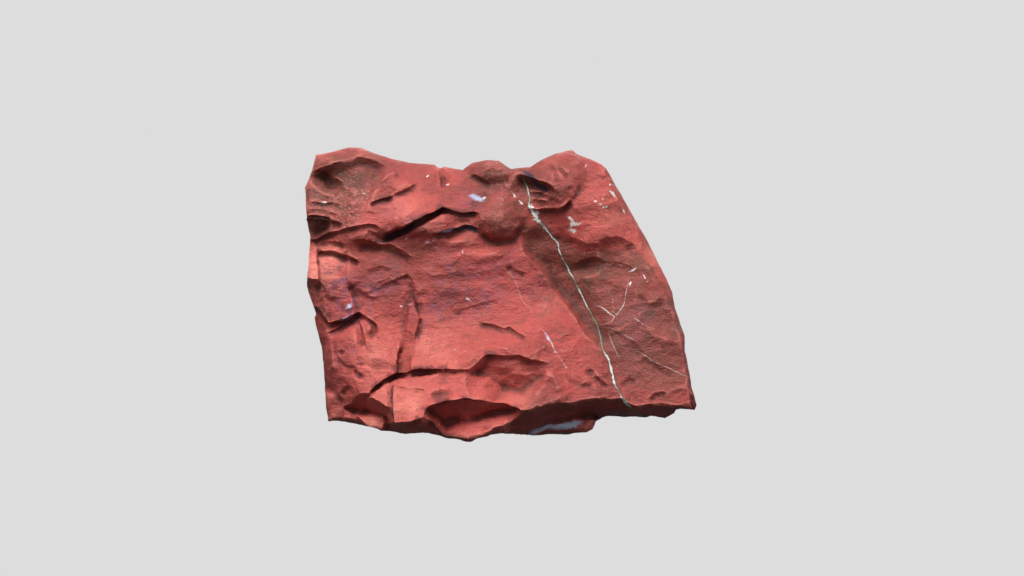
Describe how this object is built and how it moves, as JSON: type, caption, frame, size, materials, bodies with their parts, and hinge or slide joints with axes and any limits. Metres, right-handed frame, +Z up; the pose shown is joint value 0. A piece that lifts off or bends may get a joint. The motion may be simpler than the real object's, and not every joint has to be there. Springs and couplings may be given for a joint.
{
  "type": "chert stone",
  "caption": "Blocky hand specimen of red chert with fracture ledges, a lumpy top edge and thin pale quartz veins, resting on a flat break underneath.",
  "frame": {"origin": "centre of the bounding box's bottom face, in the plane of the flat break that the stone rests on", "axes": "+X along the long side of the broad broken face, +Y from that face to the back, +Z up"},
  "size_m": [0.1013, 0.0651, 0.0752],
  "materials": {
    "chert": "fresh fracture, satin"
  },
  "bodies": {
    "root": {"chert_stone": "chert"}
  },
  "joints": []
}
